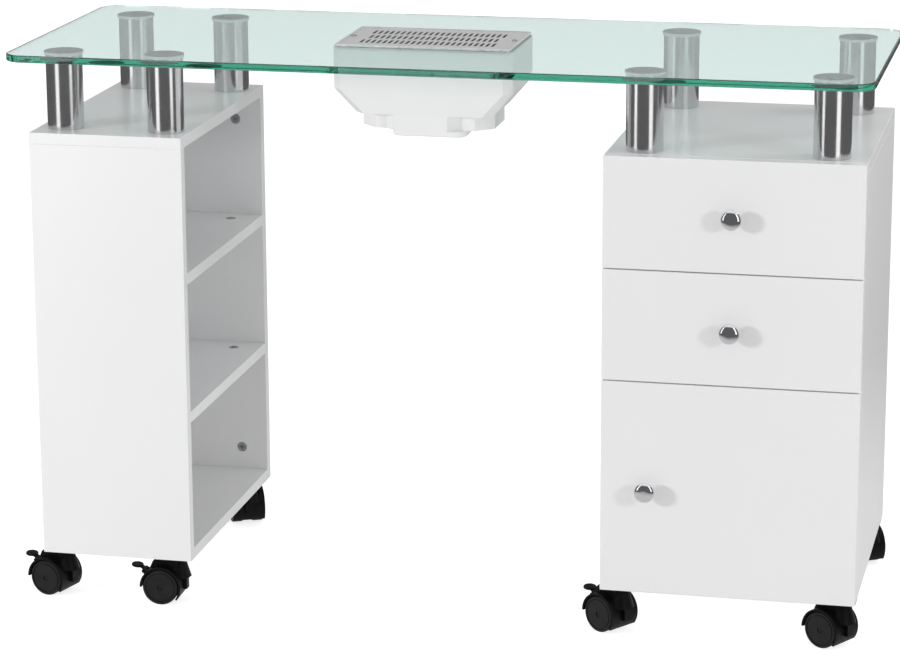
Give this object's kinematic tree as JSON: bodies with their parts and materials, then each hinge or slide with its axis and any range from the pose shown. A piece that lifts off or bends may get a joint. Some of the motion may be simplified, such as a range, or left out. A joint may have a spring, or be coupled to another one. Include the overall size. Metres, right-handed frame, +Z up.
{
  "type": "manicure table",
  "caption": "Manicure table with a glass top on steel posts, an open shelf pedestal, a drawer and door cabinet pedestal, a dust extractor and castors.",
  "frame": {"origin": "on the floor, at the centre of the whole table's outline, midway along the glass and midway through the pedestals' depth", "axes": "+X along the glass towards the cabinet with drawers, +Y from the sitter's side with the drawer fronts to the back, +Z up"},
  "size_m": [1.2115, 0.4727, 0.7955],
  "materials": {
    "clear_glass": "polished tempered glass, pale green, saturated green at the edge",
    "grille_steel": "satin steel plate",
    "screw_steel": "bright steel",
    "white_plastic": "moulded white plastic, semi-gloss",
    "filter_felt": "dark non-woven filter felt",
    "black_plastic": "matt black moulding",
    "white_board": "gloss white lacquered board",
    "drawer_board": "satin white faced board",
    "zinc": "die-cast zinc",
    "chrome": "polished chrome",
    "plated_steel": "zinc-plated sheet steel",
    "post_steel": "brushed stainless steel",
    "caster_hood_plastic": "black nylon moulding",
    "caster_wheel_plastic": "black nylon wheel"
  },
  "bodies": {
    "root": {"glass_top": "clear_glass", "vent_grille": "grille_steel", "vent_grille_screws": "screw_steel", "vent_hopper": "white_plastic", "vent_outlet_plate": "white_plastic", "vent_filter": "filter_felt", "fan_frame": "black_plastic", "vent_power_inlet": "black_plastic", "shelf_unit_top": "white_board", "shelf_unit_bottom": "white_board", "shelf_unit_front": "white_board", "shelf_unit_rear": "white_board", "shelf_unit_side": "white_board", "shelf_upper": "white_board", "shelf_lower": "white_board", "cabinet_top": "white_board", "cabinet_bottom": "white_board", "cabinet_side_left": "white_board", "cabinet_side_right": "white_board", "cabinet_back": "white_board", "cabinet_divider": "white_board", "cam_locks": "zinc", "drawer_rails": "plated_steel", "door_hinge_arms": "plated_steel", "caster_plates": "plated_steel", "post_bolts": "plated_steel", "posts_left": "post_steel", "posts_right": "post_steel", "post_discs": "post_steel"},
    "swivel_1": {"caster_1_hood": "caster_hood_plastic"},
    "wheels_1": {"caster_1_wheels": "caster_wheel_plastic"},
    "brake_1": {"caster_1_brake_lever": "caster_hood_plastic"},
    "swivel_2": {"caster_2_hood": "caster_hood_plastic"},
    "wheels_2": {"caster_2_wheels": "caster_wheel_plastic"},
    "brake_2": {"caster_2_brake_lever": "caster_hood_plastic"},
    "swivel_3": {"caster_3_hood": "caster_hood_plastic"},
    "wheels_3": {"caster_3_wheels": "caster_wheel_plastic"},
    "brake_3": {"caster_3_brake_lever": "caster_hood_plastic"},
    "swivel_4": {"caster_4_hood": "caster_hood_plastic"},
    "wheels_4": {"caster_4_wheels": "caster_wheel_plastic"},
    "swivel_5": {"caster_5_hood": "caster_hood_plastic"},
    "wheels_5": {"caster_5_wheels": "caster_wheel_plastic"},
    "swivel_6": {"caster_6_hood": "caster_hood_plastic"},
    "wheels_6": {"caster_6_wheels": "caster_wheel_plastic"},
    "swivel_7": {"caster_7_hood": "caster_hood_plastic"},
    "wheels_7": {"caster_7_wheels": "caster_wheel_plastic"},
    "swivel_8": {"caster_8_hood": "caster_hood_plastic"},
    "wheels_8": {"caster_8_wheels": "caster_wheel_plastic"},
    "upper_drawer": {"drawer_upper_front": "white_board", "drawer_upper_box": "drawer_board", "drawer_upper_knob": "chrome", "drawer_upper_runners": "plated_steel"},
    "lower_drawer": {"drawer_lower_front": "white_board", "drawer_lower_box": "drawer_board", "drawer_lower_knob": "chrome", "drawer_lower_runners": "plated_steel"},
    "door": {"door_panel": "white_board", "door_knob": "chrome", "door_hinge_cups": "plated_steel"},
    "fan": {"fan_impeller": "black_plastic"}
  },
  "joints": [
    {"name": "caster_1_swivel", "type": "hinge", "parent": "root", "child": "swivel_1", "pos_m": [-0.544, -0.18, 0.055], "axis": [0, 0, 1], "continuous": true},
    {"name": "caster_1_roll", "type": "hinge", "parent": "swivel_1", "child": "wheels_1", "pos_m": [-0.56525, -0.17431, 0.026], "axis": [0.2588, 0.9659, 0], "continuous": true},
    {"name": "caster_1_brake", "type": "hinge", "parent": "swivel_1", "child": "brake_1", "pos_m": [-0.5923, -0.16706, 0.044], "axis": [-0.2588, -0.9659, 0], "range_deg": [0, 12]},
    {"name": "caster_2_swivel", "type": "hinge", "parent": "root", "child": "swivel_2", "pos_m": [-0.376, -0.18, 0.055], "axis": [0, 0, 1], "continuous": true},
    {"name": "caster_2_roll", "type": "hinge", "parent": "swivel_2", "child": "wheels_2", "pos_m": [-0.39799, -0.18077, 0.026], "axis": [-0.0349, 0.9994, 0], "continuous": true},
    {"name": "caster_2_brake", "type": "hinge", "parent": "swivel_2", "child": "brake_2", "pos_m": [-0.42597, -0.18174, 0.044], "axis": [0.0349, -0.9994, 0], "range_deg": [0, 12]},
    {"name": "caster_3_swivel", "type": "hinge", "parent": "root", "child": "swivel_3", "pos_m": [0.266, -0.18, 0.055], "axis": [0, 0, 1], "continuous": true},
    {"name": "caster_3_roll", "type": "hinge", "parent": "swivel_3", "child": "wheels_3", "pos_m": [0.24776, -0.1677, 0.026], "axis": [0.5592, 0.829, 0], "continuous": true},
    {"name": "caster_3_brake", "type": "hinge", "parent": "swivel_3", "child": "brake_3", "pos_m": [0.22455, -0.15204, 0.044], "axis": [-0.5592, -0.829, 0], "range_deg": [0, 12]},
    {"name": "caster_4_swivel", "type": "hinge", "parent": "root", "child": "swivel_4", "pos_m": [0.574, -0.18, 0.055], "axis": [0, 0, 1], "continuous": true},
    {"name": "caster_4_roll", "type": "hinge", "parent": "swivel_4", "child": "wheels_4", "pos_m": [0.55495, -0.169, 0.026], "axis": [0.5, 0.866, 0], "continuous": true},
    {"name": "caster_5_swivel", "type": "hinge", "parent": "root", "child": "swivel_5", "pos_m": [-0.544, 0.18, 0.055], "axis": [0, 0, 1], "continuous": true},
    {"name": "caster_5_roll", "type": "hinge", "parent": "swivel_5", "child": "wheels_5", "pos_m": [-0.56467, 0.18752, 0.026], "axis": [0.342, 0.9397, 0], "continuous": true},
    {"name": "caster_6_swivel", "type": "hinge", "parent": "root", "child": "swivel_6", "pos_m": [-0.376, 0.18, 0.055], "axis": [0, 0, 1], "continuous": true},
    {"name": "caster_6_roll", "type": "hinge", "parent": "swivel_6", "child": "wheels_6", "pos_m": [-0.38564, 0.19977, 0.026], "axis": [0.8988, 0.4384, 0], "continuous": true},
    {"name": "caster_7_swivel", "type": "hinge", "parent": "root", "child": "swivel_7", "pos_m": [0.266, 0.18, 0.055], "axis": [0, 0, 1], "continuous": true},
    {"name": "caster_7_roll", "type": "hinge", "parent": "swivel_7", "child": "wheels_7", "pos_m": [0.25128, 0.19635, 0.026], "axis": [0.7431, 0.6691, 0], "continuous": true},
    {"name": "caster_8_swivel", "type": "hinge", "parent": "root", "child": "swivel_8", "pos_m": [0.574, 0.18, 0.055], "axis": [0, 0, 1], "continuous": true},
    {"name": "caster_8_roll", "type": "hinge", "parent": "swivel_8", "child": "wheels_8", "pos_m": [0.563, 0.19905, 0.026], "axis": [0.866, 0.5, 0], "continuous": true},
    {"name": "upper_drawer_slide", "type": "slide", "parent": "root", "child": "upper_drawer", "axis": [0, -1, 0], "range_m": [0, 0.3]},
    {"name": "lower_drawer_slide", "type": "slide", "parent": "root", "child": "lower_drawer", "axis": [0, -1, 0], "range_m": [0, 0.3]},
    {"name": "door_hinge", "type": "hinge", "parent": "root", "child": "door", "pos_m": [0.592, -0.194, 0.22], "axis": [0, 0, 1], "range_deg": [0, 110]},
    {"name": "fan_spin", "type": "hinge", "parent": "root", "child": "fan", "pos_m": [-0.042, 0.01, 0.689], "axis": [0, 0, 1], "continuous": true}
  ]
}
